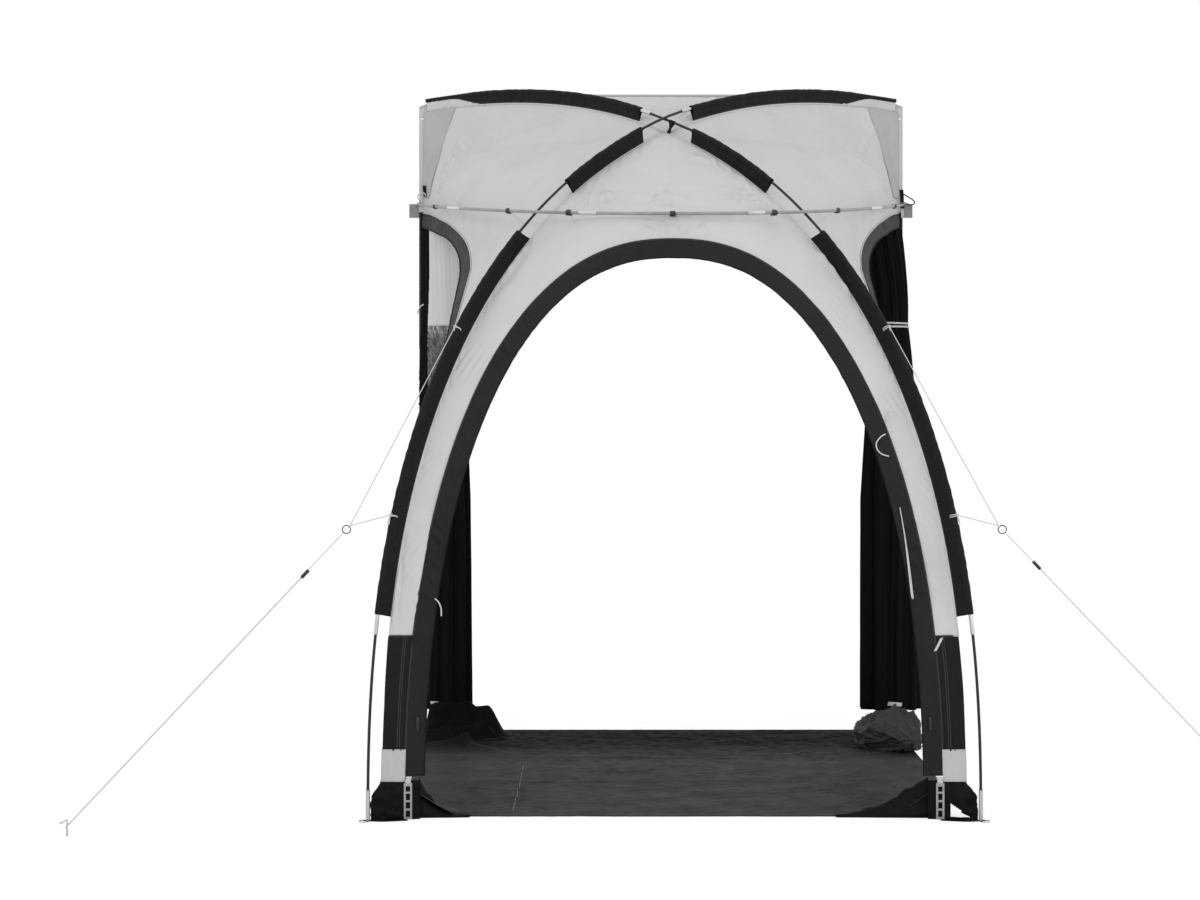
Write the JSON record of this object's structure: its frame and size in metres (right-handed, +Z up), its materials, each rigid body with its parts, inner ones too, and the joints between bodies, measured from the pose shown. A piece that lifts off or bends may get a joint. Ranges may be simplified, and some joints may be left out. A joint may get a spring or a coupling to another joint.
{
  "type": "caravan porch awning",
  "caption": "Porch awning for a caravan: two crossing bent poles in sleeve bands carry a light cloth canopy with an arched front door, open sides, a brow pole and guy lines.",
  "frame": {"origin": "on the ground, midway across the awning, midway between the caravan's wall and the front feet", "axes": "+X to the right seen from the front, +Y towards the caravan's wall, +Z up"},
  "size_m": [3.7976, 1.9059, 2.5853],
  "materials": {
    "grey_cloth": "light grey coated polyester cloth, matt",
    "dark_cloth": "dark grey to black coated cloth, matt",
    "black_cloth": "black cloth with a grey patch above each flap, matt",
    "sheet_cloth": "dark grey woven groundsheet, faintly glossy",
    "black_rod": "black fibreglass rod with bright metal ferrules",
    "grey_rod": "grey pole with bright metal sleeves",
    "steel": "zinc plated steel",
    "black_plastic": "black moulded nylon",
    "grey_plastic": "grey moulded plastic",
    "pale_rubber": "pale rubber, matt",
    "white_cord": "white braided cord"
  },
  "bodies": {
    "awning": {"front_panel": "grey_cloth", "left_side_panel": "grey_cloth", "right_side_panel": "grey_cloth", "roof_panel": "grey_cloth", "rail_hem": "grey_cloth", "door_trim": "dark_cloth", "left_side_trim": "dark_cloth", "right_side_trim": "dark_cloth", "door_bundle": "dark_cloth", "left_lower_sleeve": "dark_cloth", "left_mid_sleeve": "dark_cloth", "left_upper_sleeve": "dark_cloth", "right_lower_sleeve": "dark_cloth", "right_mid_sleeve": "dark_cloth", "right_upper_sleeve": "dark_cloth", "left_leg_panel": "black_cloth", "right_leg_panel": "black_cloth", "left_drape": "black_cloth", "right_drape": "black_cloth", "crown_tie": "black_cloth", "groundsheet": "sheet_cloth", "left_pole_1": "black_rod", "left_pole_2": "black_rod", "left_pole_3": "black_rod", "left_pole_4": "black_rod", "left_pole_5": "black_rod", "left_pole_6": "black_rod", "right_pole_1": "black_rod", "right_pole_2": "black_rod", "right_pole_3": "black_rod", "right_pole_4": "black_rod", "right_pole_5": "black_rod", "right_pole_6": "black_rod", "brow_pole": "grey_rod", "left_foot_pin": "steel", "right_foot_pin": "steel", "left_ground_peg": "steel", "right_ground_peg": "steel", "brow_clip_1": "black_plastic", "brow_clip_2": "black_plastic", "brow_clip_3": "black_plastic", "brow_clip_4": "black_plastic", "brow_clip_5": "black_plastic", "brow_clip_6": "black_plastic", "brow_clip_7": "black_plastic", "left_guy_ring": "black_plastic", "right_guy_ring": "black_plastic", "left_wall_plate": "grey_plastic", "right_wall_plate": "grey_plastic", "left_guy_bridle": "white_cord", "right_guy_bridle": "white_cord", "left_guy_line": "white_cord", "right_guy_line": "white_cord"},
    "left_tensioner_body": {"left_tensioner": "black_plastic"},
    "right_tensioner_body": {"right_tensioner": "black_plastic"},
    "left_ladder_body": {"left_pegging_ladder": "pale_rubber"},
    "right_ladder_body": {"right_pegging_ladder": "pale_rubber"},
    "left_slider_body": {"left_zip_slider": "black_plastic"},
    "right_slider_body": {"right_zip_slider": "black_plastic"}
  },
  "joints": [
    {"name": "left_tensioner_slide", "type": "slide", "parent": "awning", "child": "left_tensioner_body", "axis": [-0.6715, -0.1524, -0.7252], "range_m": [0, 0.25]},
    {"name": "right_tensioner_slide", "type": "slide", "parent": "awning", "child": "right_tensioner_body", "axis": [0.6715, -0.1524, -0.7252], "range_m": [0, 0.25]},
    {"name": "left_ladder_swing", "type": "hinge", "parent": "awning", "child": "left_ladder_body", "pos_m": [-0.85, -0.82499, 0.115], "axis": [-1, 0, 0], "range_deg": [0, 75]},
    {"name": "right_ladder_swing", "type": "hinge", "parent": "awning", "child": "right_ladder_body", "pos_m": [0.85, -0.82499, 0.115], "axis": [-1, 0, 0], "range_deg": [0, 75]},
    {"name": "left_slider_slide", "type": "slide", "parent": "awning", "child": "left_slider_body", "axis": [0.0473, 0.0226, 0.9986], "range_m": [-0.1, 0.1]},
    {"name": "right_slider_slide", "type": "slide", "parent": "awning", "child": "right_slider_body", "axis": [-0.0473, 0.0226, 0.9986], "range_m": [-0.1, 0.1]}
  ]
}
